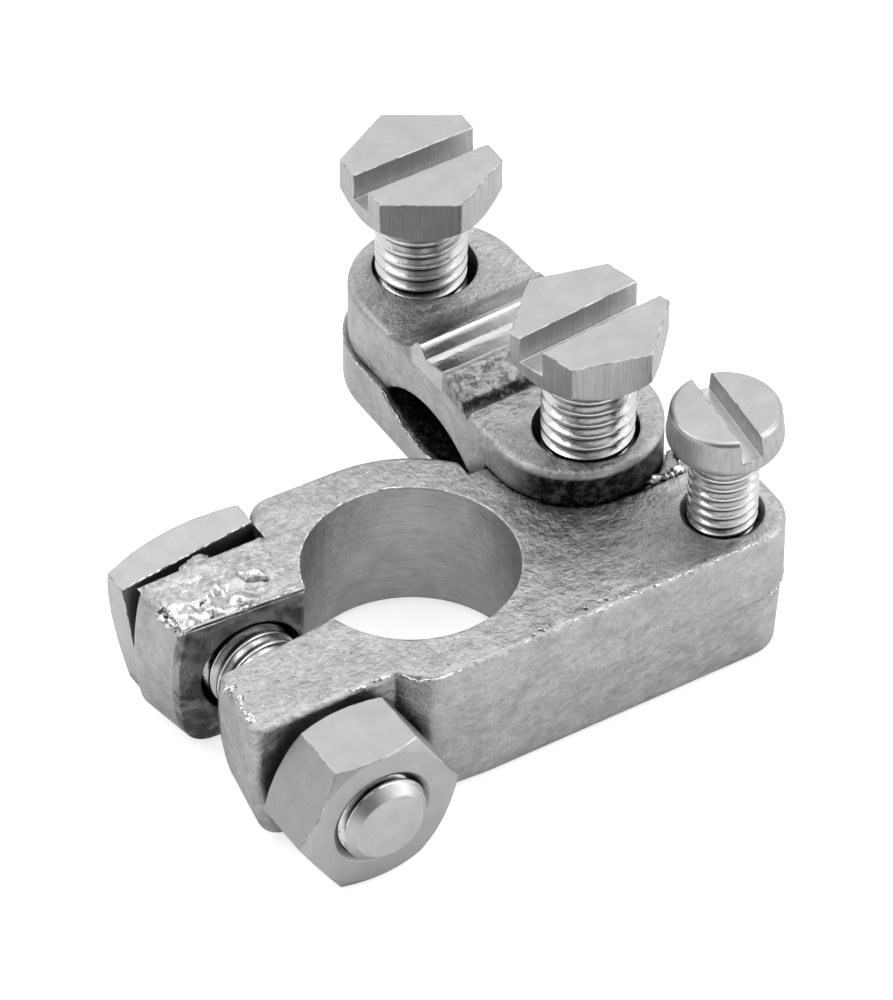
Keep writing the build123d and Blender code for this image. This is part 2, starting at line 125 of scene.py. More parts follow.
# ---------------------------------------------------------------- materials
class Shader:
    """A material's node tree, built socket by socket."""

    def __init__(self, name):
        self.material = bpy.data.materials.new(name)
        self.material.use_nodes = True
        self.tree = self.material.node_tree
        self.tree.nodes.clear()
        output = self.tree.nodes.new("ShaderNodeOutputMaterial")
        self.surface = self.tree.nodes.new("ShaderNodeBsdfPrincipled")
        self.tree.links.new(self.surface.outputs[0], output.inputs[0])
        self.geometry = self.tree.nodes.new("ShaderNodeNewGeometry")
        coords = self.tree.nodes.new("ShaderNodeTexCoord")
        self.mm = self.vector("SCALE", coords.outputs["Object"], scale=1000)

    def put(self, socket, value):
        if isinstance(value, bpy.types.NodeSocket):
            self.tree.links.new(value, socket)
        else:
            socket.default_value = value

    def math(self, operation, a, b=0.0):
        node = self.tree.nodes.new("ShaderNodeMath")
        node.operation = operation
        self.put(node.inputs[0], a)
        self.put(node.inputs[1], b)
        return node.outputs[0]

    def product(self, first, *others):
        for other in others:
            first = self.math("MULTIPLY", first, other)
        return first

    def vector(self, operation, a, b=None, scale=None):
        node = self.tree.nodes.new("ShaderNodeVectorMath")
        node.operation = operation
        self.put(node.inputs[0], a)
        if b is not None:
            self.put(node.inputs[1], b)
        if scale is not None:
            self.put(node.inputs["Scale"], scale)
        return node.outputs["Value" if operation in ("DOT_PRODUCT", "LENGTH") else "Vector"]

    def split(self, vector):
        node = self.tree.nodes.new("ShaderNodeSeparateXYZ")
        self.put(node.inputs[0], vector)
        return node.outputs

    def join(self, x, y, z):
        node = self.tree.nodes.new("ShaderNodeCombineXYZ")
        for socket, value in zip(node.inputs, (x, y, z)):
            self.put(socket, value)
        return node.outputs[0]

    def stretched(self, x, y, z):
        """The position in mm, with each axis scaled."""
        return self.vector("MULTIPLY", self.mm, (x, y, z))

    def noise(self, scale, detail=3.0, roughness=0.55, vector=None, distortion=0.0):
        node = self.tree.nodes.new("ShaderNodeTexNoise")
        self.put(node.inputs["Vector"], self.mm if vector is None else vector)
        self.put(node.inputs["Scale"], scale)
        self.put(node.inputs["Detail"], detail)
        self.put(node.inputs["Roughness"], roughness)
        self.put(node.inputs["Distortion"], distortion)
        return node.outputs[0]

    def span(self, value, low, high, to_low=0.0, to_high=1.0):
        """value from low..high mapped smoothly to to_low..to_high and held there."""
        node = self.tree.nodes.new("ShaderNodeMapRange")
        node.interpolation_type = "SMOOTHSTEP"
        for key, number in (("Value", value), ("From Min", low), ("From Max", high)):
            self.put(node.inputs[key], number)
        self.put(node.inputs["To Min"], to_low)
        self.put(node.inputs["To Max"], to_high)
        return node.outputs[0]

    def within(self, value, low, high, soft):
        """1 between low and high, 0 outside, with soft ends."""
        rising = self.span(value, low - soft, low + soft)
        falling = self.span(value, high + soft, high - soft)
        return self.product(rising, falling)

    def mix(self, factor, a, b):
        """Numbers a and b mixed by factor."""
        node = self.tree.nodes.new("ShaderNodeMix")
        node.data_type = "FLOAT"
        self.put(node.inputs[0], factor)
        self.put(node.inputs[2], a)
        self.put(node.inputs[3], b)
        return node.outputs[0]

    def bump(self, height, distance, normal=None):
        """A normal bent by a height that spans the given distance in mm."""
        node = self.tree.nodes.new("ShaderNodeBump")
        self.put(node.inputs["Strength"], 1.0)
        self.put(node.inputs["Distance"], distance * MM)
        self.put(node.inputs["Height"], height)
        if normal is not None:
            self.put(node.inputs["Normal"], normal)
        return node.outputs[0]

    def bevel(self, radius):
        node = self.tree.nodes.new("ShaderNodeBevel")
        node.samples = NODE_SAMPLES
        self.put(node.inputs["Radius"], radius * MM)
        return node.outputs[0]

    def edge(self, radius, low=0.01, high=0.12):
        """1 on the outer and inner edges of the shape, 0 elsewhere."""
        along = self.vector("DOT_PRODUCT", self.bevel(radius), self.geometry.outputs["Normal"])
        return self.span(self.math("SUBTRACT", 1.0, along), low, high)

    def shade(self, distance):
        """1 in the open, towards 0 in corners and crevices."""
        node = self.tree.nodes.new("ShaderNodeAmbientOcclusion")
        node.samples = NODE_SAMPLES
        self.put(node.inputs["Distance"], distance * MM)
        return node.outputs["AO"]

    def near(self, point, radii):
        """1 at a point, falling to 0 at the given radii in mm."""
        offset = self.vector("SUBTRACT", self.mm, point)
        scaled = self.vector("DIVIDE", offset, radii)
        return self.span(self.vector("LENGTH", scaled), 1.0, 0.35)

    def attribute(self, name):
        node = self.tree.nodes.new("ShaderNodeAttribute")
        node.attribute_name = name
        return node.outputs["Fac"]

    def finish(self, level, roughness, normal):
        """The finished grey metal."""
        self.put(self.surface.inputs["Base Color"], self.join(level, level, level))
        self.put(self.surface.inputs["Metallic"], 1.0)
        self.put(self.surface.inputs["Roughness"], roughness)
        self.put(self.surface.inputs["Normal"], normal)
        return self.material


def casting_material(name, is_cap):
    """Tinned casting: sandy top faces, smoother walls, worn edges, painted shade in crevices and hollows,
    and a machined bore with painted light on its far wall.
    """
    s = Shader(name)
    x, y, z = s.split(s.mm)
    facing = s.split(s.geometry.outputs["Normal"])
    up = s.span(facing[2], 0.75, 0.95)
    wall = s.span(s.math("ABSOLUTE", facing[2]), 0.7, 0.4)
    sand = s.noise(2.8, 3.0, 0.6)
    grain = s.noise(1.3, 5.0, 0.68)
    lumps = s.noise(0.45, 3.0, 0.5)
    blotch = s.noise(0.3, 5.0, 0.62, distortion=0.6)

    level = s.span(blotch, 0.3, 0.7, 0.42, 0.53)
    level = s.product(level, s.span(grain, 0.34, 0.66, 0.88, 1.10))
    level = s.product(level, s.mix(s.span(sand, 0.34, 0.66), s.mix(up, 0.96, 0.88), 1.05))
    pits = s.span(s.noise(1.9, 5.0, 0.7, s.vector("ADD", s.mm, (5, 3, 9))), 0.61, 0.66)
    level = s.mix(s.product(pits, s.mix(up, 0.35, 0.7)), level, 0.15)
    flecks = s.span(s.noise(2.6, 4.0, 0.72, s.vector("ADD", s.mm, (31, 7, 3))), 0.62, 0.68)
    level = s.mix(s.product(flecks, s.mix(up, 0.15, 0.6)), level, 0.9)

    worn = s.product(s.edge(0.4), s.span(s.noise(1.1, 4.0, 0.7), 0.42, 0.58))
    level = s.mix(s.product(worn, 0.7), level, 0.92)
    # painted shade: darker where the ambient occlusion finds corners and crevices
    painted_crevice_shade = s.span(s.shade(1.8), 0.3, 0.85, 0.18, 1.0)
    level = s.product(level, painted_crevice_shade)
    rough = s.span(grain, 0.3, 0.7, 0.30, 0.46)
    rough = s.mix(s.product(worn, 0.7), rough, 0.2)
    sandy = s.product(sand, s.mix(up, 0.4, 1.0))
    grainy = grain

    if is_cap:
        # painted shade: the cable's arch, facing down, is painted black, and the wall of the front lobe is
        # painted dark below its rim
        arch_painted_shade = s.span(facing[2], -0.15, -0.4)
        level = s.mix(arch_painted_shade, level, s.span(grain, 0.4, 0.7, 0.02, 0.08))
        lobe = s.product(wall, s.span(y, 5.0, 0.5), s.span(z, 16.0, 15.6), s.span(x, 27.0, 24.5))
        level = s.mix(lobe, level, s.span(grain, 0.42, 0.66, 0.015, 0.16))
        # the ridge froze smooth, with a rough front slope; a black line of painted shade runs along its
        # foot
        ridge = s.product(s.within(y, 9.6, 21.4, 0.25), s.span(z, 16.3, 16.5))
        glossy = s.product(ridge, s.span(y, 12.4, 13.4), s.span(y, 18.3, 17.4))
        back = s.product(ridge, s.span(y, 17.4, 18.3))
        streak = s.noise(0.5, 4.0, 0.6, s.stretched(0.35, 1.5, 1.0), 0.3)
        slope = s.product(ridge, s.span(y, 13.4, 12.4))
        level = s.mix(slope, level, s.span(grain, 0.38, 0.6, 0.14, 0.42))
        level = s.mix(back, level, s.span(streak, 0.34, 0.66, 0.26, 0.42))
        level = s.mix(glossy, level, s.span(streak, 0.34, 0.66, 0.49, 0.57))
        foot_shade_line = s.within(s.math("ADD", y, s.product(grain, 0.5)), 9.98, 10.5, 0.2)
        foot_shade_line = s.product(foot_shade_line, s.span(z, 16.3, 16.42), s.span(sand, 0.35, 0.5, 0.35, 0.95))
        level = s.mix(foot_shade_line, level, 0.04)
        rough = s.mix(glossy, s.mix(back, rough, 0.34), 0.17)
        melt = s.product(streak, glossy, 0.4)
        lumps = s.product(lumps, s.mix(glossy, 1.0, 0.12))
        sandy = s.product(sandy, s.mix(glossy, 1.0, 0.1))
        grainy = s.product(grainy, s.mix(glossy, 1.0, 0.15))
    else:
        # darker patch on the arm's top
        level = s.product(level, s.mix(s.near((15.0, -5.0, PLATE_TOP), (10.0, 6.0, 3.0)), 1.0, 0.84))
        # machined bore, with painted light on the part of its wall that faces the camera
        radius = s.vector("LENGTH", s.join(x, y, 0.0))
        bore = s.product(s.span(radius, 9.85, 9.75), s.math("SUBTRACT", 1.0, up))
        cut = s.noise(1.0, 4.0, 0.65, s.stretched(0.12, 0.12, 7.0))
        facing_front = s.vector("DOT_PRODUCT", s.geometry.outputs["Normal"], (-0.53, -0.85, 0.0))
        far_wall_painted_light = s.span(facing_front, 0.3, 0.95, 1.0, 1.5)
        turned = s.product(s.span(cut, 0.3, 0.7, 0.40, 0.50), s.span(blotch, 0.3, 0.7, 0.9, 1.1), far_wall_painted_light)
        level = s.mix(bore, level, turned)
        rough = s.mix(bore, rough, 0.38)
        sandy = s.mix(bore, sandy, s.product(cut, 0.35))
        grainy = s.product(grainy, s.mix(bore, 1.0, 0.15))
        # painted shade makes the inside of the trough black; dark blotches on the faces of the slot
        trough_painted_shade = s.product(s.within(y, 9.0, 22.0, 0.2), s.span(z, 10.45, 10.3), s.span(facing[2], 0.1, 0.4))
        trough_painted_shade = s.product(trough_painted_shade, s.span(x, 10.6, 11.2))
        level = s.mix(trough_painted_shade, level, s.span(grain, 0.4, 0.7, 0.02, 0.1))
        slot = s.product(wall, s.span(s.math("ABSOLUTE", y), 3.7, 3.5), s.span(x, -8.0, -9.5))
        level = s.mix(slot, level, s.span(blotch, 0.4, 0.6, 0.12, 0.40))
        # faint line where the halves of the mould met
        seam = s.product(s.within(z, 6.42, 6.6, 0.08), wall, s.span(x, 19.0, 26.0))
        level = s.mix(s.product(seam, s.span(grain, 0.4, 0.55, 0.1, 0.6)), level, 0.2)
        melt = s.product(seam, 0.3)

    normal = s.bump(lumps, 0.30, s.bevel(0.3))
    normal = s.bump(melt, 0.12, normal)
    normal = s.bump(grainy, 0.15, normal)
    normal = s.bump(sandy, 0.08, normal)
    return s.finish(level, rough, normal)


def ear_material():
    """The back ear's top, melted smooth at its outer end."""
    s = Shader("casting_melted")
    grain = s.noise(1.3, 5.0, 0.68)
    sand = s.noise(2.8, 3.0, 0.6)
    melted = s.near((-17.2, 4.4, 13.2), (5.2, 4.2, 4.0))
    sandy = s.mix(melted, s.span(sand, 0.34, 0.66, 0.85, 1.08), 1.2)
    level = s.product(s.span(grain, 0.34, 0.66, 0.40, 0.64), sandy)
    # painted shade in the hollows of the frozen metal
    level = s.product(level, s.span(s.shade(0.9), 0.25, 0.85, 0.2, 1.0))
    rough = s.mix(melted, s.span(grain, 0.3, 0.7, 0.32, 0.44), 0.17)
    normal = s.bump(s.noise(0.9, 2.0, 0.5), 0.15)
    normal = s.bump(s.product(grain, s.mix(melted, 1.0, 0.25)), 0.14, normal)
    normal = s.bump(s.product(sand, s.mix(melted, 1.0, 0.1)), 0.09, normal)
    return s.finish(level, rough, normal)


def splash_material():
    """Drops, burrs and lumps of metal that froze smooth."""
    s = Shader("frozen_metal")
    grain = s.noise(1.8, 4.0, 0.6)
    level = s.span(grain, 0.38, 0.62, 0.40, 0.95)
    # painted shade in the hollows between and under the drops
    level = s.product(level, s.span(s.shade(0.7), 0.2, 0.8, 0.35, 1.0))
    return s.finish(level, s.span(grain, 0.3, 0.7, 0.2, 0.36), s.bump(s.noise(3.0, 3.0, 0.6), 0.06))


def zinc_material(name, level, roughness, lines):
    """Zinc-plated steel with mottled plating, painted reflections on its edges, painted shade in its
    hollows and painted light on slot floors.

    lines is how strong the upright tool marks on the sides are.
    """
    s = Shader(name)
    facing = s.split(s.geometry.outputs["Normal"])
    side = s.span(s.math("ABSOLUTE", facing[2]), 0.5, 0.2)
    mottle = s.noise(0.5, 4.0, 0.6, distortion=0.4)
    fine = s.noise(6.0, 4.0, 0.6)
    drawn = s.noise(1.0, 4.0, 0.7, s.stretched(7.0, 7.0, 0.3))
    tone = s.span(mottle, 0.3, 0.7, level * 0.94, level * 1.05)
    tone = s.product(tone, s.mix(s.product(side, lines), 1.0, s.span(drawn, 0.3, 0.7, 0.80, 1.10)))
    rim = s.edge(0.26, 0.02, 0.14)
    along = s.noise(0.7, 4.0, 0.7)
    # painted reflections: dark lines along some edges, bright lines along the rest
    tone = s.mix(s.product(rim, s.span(along, 0.50, 0.58), 0.85), tone, 0.1)
    tone = s.mix(s.product(rim, s.span(along, 0.50, 0.42), 0.7), tone, 0.95)
    open_sky = s.shade(1.6)
    # painted shade where little of the sky is open
    tone = s.product(tone, s.span(open_sky, 0.2, 0.8, 0.45, 1.0))
    # painted reflection: the floors of the slots, facing up and shut in, are painted bright
    slot_floor_painted_light = s.product(s.span(facing[2], 0.85, 0.97), s.span(open_sky, 0.85, 0.6))
    tone = s.mix(s.product(slot_floor_painted_light, 0.85), tone, 1.0)
    rough = s.span(fine, 0.3, 0.7, roughness * 0.9, roughness * 1.1)
    normal = s.bump(mottle, 0.02, s.bevel(0.18))
    normal = s.bump(fine, 0.01, normal)
    normal = s.bump(s.product(drawn, side), 0.03 * lines, normal)
    return s.finish(tone, rough, normal)


def thread_material():
    """Rolled thread: bright flanks, painted shade in the roots and small nicks."""
    s = Shader("rolled_thread")
    fine = s.noise(3.0, 4.0, 0.65)
    nicks = s.span(s.noise(1.4, 5.0, 0.7), 0.60, 0.68)
    level = s.mix(nicks, 0.72, 0.4)
    # painted shade: the groove's roots painted dark, and hollows darker still
    level = s.mix(s.span(s.attribute("groove"), 0.6, 0.95), level, 0.1)
    level = s.product(level, s.span(s.shade(0.5), 0.2, 0.8, 0.4, 1.0))
    normal = s.bump(fine, 0.015, s.bump(s.noise(0.9, 3.0, 0.6), 0.03))
    return s.finish(level, s.span(fine, 0.3, 0.7, 0.12, 0.22), normal)


BODY_CASTING = casting_material("casting_body", False)
CAP_CASTING = casting_material("casting_cap", True)
SPLASH = splash_material()
MELTED = ear_material()
SATIN_ZINC = zinc_material("satin_zinc", 0.47, 0.40, 0.1)
BOLT_ZINC = zinc_material("bolt_zinc", 0.54, 0.40, 0.1)
BRIGHT_ZINC = zinc_material("bright_zinc", 0.495, 0.36, 1.0)
THREAD = thread_material()


# ---------------------------------------------------------------- pieces
def object_from(name, bm, body, materials, smooth_angle):
    """A mesh object in the row frame, drawn in mm, that rides on a body."""
    bmesh.ops.scale(bm, vec=(MM,) * 3, verts=bm.verts)
    mesh = bpy.data.meshes.new(name)
    bm.to_mesh(mesh)
    bm.free()
    carried = mesh.attributes.get("custom_normal")
    if carried:
        mesh.attributes.remove(carried)
    for material in materials:
        mesh.materials.append(material)
    mesh.polygons.foreach_set("use_smooth", [True] * len(mesh.polygons))
    mesh.set_sharp_from_angle(angle=math.radians(smooth_angle))
    thing = bpy.data.objects.new(name, mesh)
    bpy.context.scene.collection.objects.link(thing)
    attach(thing, body)
    return thing


def groove_at(phase):
    """How deep a thread is at a share of its pitch: 0 at the crest, 1 at the root."""
    away = min(phase, 1.0 - phase)
    return min(1.0, max(0.0, (away - CREST_FLAT) / FLANK))


def add_thread(bm, thread, length, tip, crest_at, place):
    """A right-handed thread down to z -length, with a chamfered tip.

    crest_at is a crest's height at angle 0.
    """
    radius, pitch, depth = thread
    first = crest_at + pitch * (math.floor(-crest_at / pitch) + 1)
    rows = int((length + first + pitch) / pitch * THREAD_ROWS)
    groove_layer = bm.verts.layers.float["groove"]
    part = []
    grid = []
    for row in range(rows + 1):
        ring = []
        for column in range(THREAD_COLUMNS + 1):
            turn = column / THREAD_COLUMNS
            drop = row / THREAD_ROWS
            height = min(max(first + pitch * (turn - drop), -length), 0.0)
            run_in = min(1.0, max(0.0, (height + length - THREAD_START) / THREAD_RUN_IN))
            groove = groove_at(drop % 1.0) * run_in
            limit = radius - tip + (height + length)
            r = min(radius - depth * groove, limit)
            angle = 2 * math.pi * turn
            vert = bm.verts.new((r * math.cos(angle), r * math.sin(angle), height))
            vert[groove_layer] = groove if r < limit else 0.0
            ring.append(vert)
            part.append(vert)
        grid.append(ring)
    for upper, lower in zip(grid, grid[1:]):
        for column in range(THREAD_COLUMNS):
            corners = (upper[column], upper[column + 1], lower[column + 1], lower[column])
            heights = [v.co.z for v in corners]
            if max(heights) - min(heights) > 1e-6:
                face = bm.faces.new(reversed(corners))
                face.material_index = 0 if max(heights) < tip - length else 1
    rim = []
    end = radius - tip
    for column in range(THREAD_COLUMNS):
        angle = 2 * math.pi * column / THREAD_COLUMNS
        rim.append(bm.verts.new((end * math.cos(angle), end * math.sin(angle), -length)))
    bm.faces.new(reversed(rim))
    part += rim
    loose = [v for v in part if not v.link_faces]
    bmesh.ops.delete(bm, geom=loose, context="VERTS")
    part = [v for v in part if v.is_valid]
    bmesh.ops.remove_doubles(bm, verts=part, dist=WELD)
    part = [v for v in part if v.is_valid]
    bmesh.ops.transform(bm, matrix=place, verts=part)


def screw(node, body, material, at, turn, thread, length, tip, crest_at):
    """A dressed screw: the CAD head on a real helical thread. Lengths in mm."""
    place = Matrix.Translation(at) @ turn
    bm = bmesh.new()
    bm.from_mesh(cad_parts[node].data)
    bm.verts.layers.float.new("groove")
    bmesh.ops.scale(bm, vec=(1 / MM,) * 3, verts=bm.verts)
    bmesh.ops.remove_doubles(bm, verts=bm.verts, dist=WELD)
    inverse = place.inverted()
    shank = [f for f in bm.faces if (inverse @ f.calc_center_median()).z < -1e-3]
    bmesh.ops.delete(bm, geom=shank, context="FACES")
    for face in bm.faces:
        face.material_index = 0
    add_thread(bm, thread, length, tip, crest_at, place)
    thing = object_from(node + "_dressed", bm, body, [material, THREAD], 30)
    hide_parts(node)


def blob(bm, centre, radii, turn=0.0, rough=0.18, subdivisions=2):
    """An uneven drop of metal."""
    made = bmesh.ops.create_icosphere(bm, subdivisions=subdivisions, radius=1.0)
    shift = Vector([random.uniform(-50, 50) for _ in range(3)])
    spin = Matrix.Rotation(turn, 4, "Z")
    for vert in made["verts"]:
        out = vert.co * (1.0 + rough * noise.noise(vert.co * 1.6 + shift))
        vert.co = Vector(centre) + spin @ Vector([o * r for o, r in zip(out, radii)])


def walk(points, spacing):
    """Points every so many mm along a bent line."""
    points = [Vector(p) for p in points]
    for a, b in zip(points, points[1:]):
        count = max(1, round((b - a).length / spacing))
        for k in range(count):
            yield a.lerp(b, k / count)


def beads(bm, points, spacing, small, large, scatter, chance=1.0):
    """A broken row of drops along an edge."""
    for point in walk(points, spacing):
        size = random.uniform(small, large)
        offset = Vector([random.uniform(-scatter, scatter) for _ in range(3)])
        stretch = random.uniform(0.8, 1.8)
        turn = random.uniform(0, math.pi)
        if random.random() < chance:
            blob(bm, point + offset, (size * stretch, size, size * 0.7), turn)


def burr(bm, points, thickness, wobble):
    """A continuous, uneven ridge of metal along a bent line."""
    shift = Vector([random.uniform(-50, 50) for _ in range(3)])
    path = list(walk(points, BURR_STEP)) + [Vector(points[-1])]
    last = len(path) - 1
    rings = []
    for k, point in enumerate(path):
        along = (path[min(last, k + 1)] - path[max(0, k - 1)]).normalized()
        side = along.cross(Vector((0, 0, 1))).normalized()
        top = side.cross(along)
        coarse = noise.noise(point * 1.1 + shift)
        fine = noise.noise(point * 3.7 - shift)
        size = thickness * max(0.15, 1.0 + 0.9 * coarse + 0.5 * fine)
        size *= min(1.0, 0.2 + 0.25 * min(k, last - k))
        centre = point + wobble * (side * fine + top * coarse)
        ring = []
        for corner in range(BURR_SIDES):
            angle = 2 * math.pi * corner / BURR_SIDES
            out = side * math.cos(angle) + top * math.sin(angle)
            uneven = 1 + 0.3 * noise.noise((point + out) * 2.9 + shift)
            ring.append(bm.verts.new(centre + out * size * uneven))
        rings.append(ring)
    for one, two in zip(rings, rings[1:]):
        for corner in range(BURR_SIDES):
            after = (corner + 1) % BURR_SIDES
            bm.faces.new((one[corner], one[after], two[after], two[corner]))
    bm.faces.new(reversed(rings[0]))
    bm.faces.new(rings[-1])


def gate_stub(bm, centre, turn, length, width, height):
    """The diamond-shaped stub where the gate broke off."""
    place = Matrix.Translation(centre) @ Matrix.Rotation(turn, 4, "Z")
    count = len(STUB_CORNERS) * STUB_SIDE_POINTS
    rings = []
    for share, rise in ((1.0, -0.5), (0.95, 0.6), (0.8, 1.0), (0.55, 0.45)):
        ring = []
        for a, b in zip(STUB_CORNERS, STUB_CORNERS[1:] + STUB_CORNERS[:1]):
            for k in range(STUB_SIDE_POINTS):
                px, py = (a[i] + (b[i] - a[i]) * k / STUB_SIDE_POINTS for i in (0, 1))
                lift = rise * height + 0.05 * random.uniform(-1, 1)
                ring.append(bm.verts.new(place @ Vector((px * length * share, py * width * share, lift))))
        rings.append(ring)
    for one, two in zip(rings, rings[1:]):
        for k in range(count):
            after = (k + 1) % count
            bm.faces.new((one[k], one[after], two[after], two[k]))
    bm.faces.new(rings[-1])


def arc(centre, radius, start, end, z):
    """Points on a level arc. Angles in degrees."""
    points = []
    for k in range(ARC_STEPS + 1):
        angle = math.radians(start + (end - start) * k / ARC_STEPS)
        points.append((centre[0] + radius * math.cos(angle), centre[1] + radius * math.sin(angle), z))
    return points


BOLT_TURN = Matrix.Rotation(math.radians(-90), 4, "X")
UPRIGHT = Matrix.Identity(4)
screw(
    "clamp_bolt", "bolt", BOLT_ZINC,
    CLAMP_BOLT_AT, BOLT_TURN, M8_THREAD, length=30.0, tip=0.85, crest_at=0.05,
)
for node, body, at in (
    ("saddle_screw_front", "front_screw", FRONT_SCREW_AT),
    ("saddle_screw_rear", "rear_screw", REAR_SCREW_AT),
):
    screw(
        node, body, BRIGHT_ZINC,
        at, UPRIGHT, M8_THREAD, length=16.0, tip=0.8, crest_at=0.0,
    )
screw(
    "wire_screw", "small_screw", BRIGHT_ZINC,
    WIRE_SCREW_AT, UPRIGHT, M6_THREAD, length=12.0, tip=0.7, crest_at=-0.4,
)

for node, material, slot in (
    ("clamp_body", BODY_CASTING, "casting"),
    ("saddle_cap", CAP_CASTING, "casting"),
    ("clamp_nut", SATIN_ZINC, "zinc_steel"),
):
    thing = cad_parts[node]
    thing.data.materials.clear()
    thing.data.materials.append(material)


def slot_edge(x):
    """Y of the back ear's upper edge over the slot."""
    return 2.0 + 0.0723 * (-9.05 - x)


def ear_top_height(x, y):
    """Height in mm of the frozen metal over the back ear's top face."""
    # lumps and hollows: centre, radii and height
    lumps = (
        (-16.8, 5.2, 1.0, 0.8, 0.55),
        (-15.2, 5.7, 0.75, 0.65, 0.45),
        (-14.1, 3.6, 0.85, 0.6, 0.5),
        (-16.5, 3.5, 0.85, 0.6, 0.5),
        (-13.5, 2.7, 0.8, 0.5, 0.4),
        (-18.7, 5.6, 0.8, 1.5, 0.45),
        (-18.2, 3.6, 0.8, 0.8, 0.4),
        (-14.8, 8.4, 1.3, 0.8, 0.35),
        (-12.0, 6.4, 1.9, 1.4, 0.25),
        (-12.0, 4.9, 1.6, 1.1, 0.25),
        (-15.6, 4.4, 0.4, 0.9, -0.4),
        (-17.5, 4.3, 0.45, 0.5, -0.3),
        (-14.9, 6.9, 0.9, 0.5, -0.25),
    )
    height = 0.03
    for cx, cy, rx, ry, top in lumps:
        height += top * math.exp(-(((x - cx) / rx) ** 2) - ((y - cy) / ry) ** 2)
    melted = math.exp(-(((x + 16.8) / 3.0) ** 2) - ((y - 4.4) / 2.4) ** 2)
    height += melted * 0.35 * noise.noise(Vector((x * 0.8, y * 0.8, 3.1)))
    height += melted * 0.14 * noise.noise(Vector((x * 1.7, y * 1.7, 5.3)))
    height += 0.05 * noise.noise(Vector((x * 2.5, y * 2.5, 9.7)))
    # how far inside the face's edges, counted slower towards the bore and the ring
    to_bore = (math.hypot(x, y) - BORE_KEEP) / 1.5
    edge_gap = min(x + 20.0, (-8.4 - x) / 2.2, to_bore, y - slot_edge(x) + SLOT_REACH, 9.4 - y)
    fade = 1.0 - (1.0 - min(1.0, max(0.0, edge_gap / EAR_TOP_FADE))) ** 3
    return height * fade - EAR_TOP_SINK * (1.0 - fade)


def add_ear_top():
    """Frozen metal over the back ear's top face."""
    bm = bmesh.new()
    grid = []
    for i in range(EAR_TOP_COLUMNS):
        x = EAR_TOP_START + i * EAR_TOP_STEP
        start = slot_edge(x) - SLOT_REACH
        column = []
        for j in range(EAR_TOP_ROWS):
            y = start + (EAR_TOP_BACK - start) * j / (EAR_TOP_ROWS - 1)
            column.append(bm.verts.new((x, y, PLATE_TOP + ear_top_height(x, y))))
        grid.append(column)
    for one, two in zip(grid, grid[1:]):
        for j in range(EAR_TOP_ROWS - 1):
            corners = (one[j], two[j], two[j + 1], one[j + 1])
            if min(v.co.xy.length for v in corners) > BORE_KEEP:
                bm.faces.new(corners)
    bmesh.ops.delete(bm, geom=[v for v in bm.verts if not v.link_faces], context="VERTS")
    # lump that touches the square head
    blob(bm, (-14.6, 9.4, 12.72), (1.1, 0.7, 0.34), 0.2, 0.6, 3)
    blob(bm, (-15.8, 9.0, 12.72), (1.0, 0.6, 0.34), 0.6, 0.6, 3)
    object_from("frozen_metal_on_ear", bm, "casting", [MELTED], 60)


def add_casting_burrs():
    """Drops, burrs and worn edges on the casting."""
    bm = bmesh.new()
    # ends of the ears
    burr(bm, [(-19.85, -3.8, 12.72), (-20.15, -6.4, 12.7), (-20.5, -9.5, 12.66)], 0.34, 0.12)
    burr(bm, [(-19.7, -4.4, 12.86), (-20.2, -9.0, 12.84)], 0.24, 0.2)
    burr(bm, [(-19.4, 8.5, 12.5), (-20.0, 7.2, 12.45), (-20.2, 5.3, 12.45), (-19.7, 3.0, 12.5)], 0.25, 0.3)
    burr(bm, [(-19.6, 6.6, 12.75), (-19.8, 4.6, 12.75), (-19.2, 3.0, 12.8)], 0.22, 0.4)
    # edges of the front ear and of the shoulder over the nut
    burr(bm, [(-18.9, -10.1, 12.72), (-12.5, -10.15, 12.78)], 0.08, 0.08)
    burr(bm, [(-12.5, -10.15, 12.8), (-8.0, -10.15, 12.84)], 0.13, 0.08)
    shoulder = [(-7.6, -10.4, 12.85), (-6.7, -12.0, 12.85), (-5.2, -12.55, 12.82), (-3.0, -12.65, 12.82)]
    burr(bm, shoulder, 0.13, 0.1)
    # back ear's edge over the slot
    burr(bm, [(-19.2, 3.0, 12.85), (-12.5, 2.45, 12.88), (-9.0, 2.15, 12.9)], 0.16, 0.12)
    # arm's front edge
    burr(bm, [(1.0, -12.65, 12.83), (7.5, -12.65, 12.83)], 0.05, 0.08)
    burr(bm, [(7.5, -12.65, 12.84), (15.0, -12.68, 12.85)], 0.1, 0.14)
    burr(bm, [(15.0, -12.68, 12.85), (27.0, -12.72, 12.83)], 0.1, 0.03)
    beads(bm, [(4.0, -12.3, 12.95), (14.0, -12.3, 12.95)], 0.35, 0.06, 0.16, 0.35, 0.7)
    # rim of the bore
    burr(bm, arc((0, 0), 9.14, 55, 165, 12.96), 0.07, 0.05)
    # corner between the cap's front lobe and the arm
    burr(bm, [(21.6, -1.7, 12.8), (23.6, -2.2, 12.8), (25.4, -1.9, 12.8)], 0.34, 0.1)
    burr(bm, [(25.0, -1.7, 12.78), (26.1, 0.2, 12.72)], 0.28, 0.1)
    # saddle's edge and the trough's lip
    burr(bm, arc((18.5, 25.75), 8.05, 150, 185, 10.42), 0.08, 0.06)
    lip = [(10.5, 21.0 - 1.25 * k, 10.5 - 2.05 * (1 - ((k - 4.4) / 5.0) ** 2)) for k in range(1, 9)]
    burr(bm, [(10.45, 25.2, 10.42), (10.45, 21.2, 10.42)] + lip, 0.07, 0.06)
    # flash where the halves of the mould met at the arm's end
    burr(bm, arc((25.8, -8.8), 4.14, -80, 15, 6.5), 0.12, 0.05)
    # the gate's stub
    gate_stub(bm, (-11.95, 5.15, 13.38), -0.72, 2.9, 1.6, 0.28)
    object_from("burrs_on_casting", bm, "casting", [SPLASH], 60)


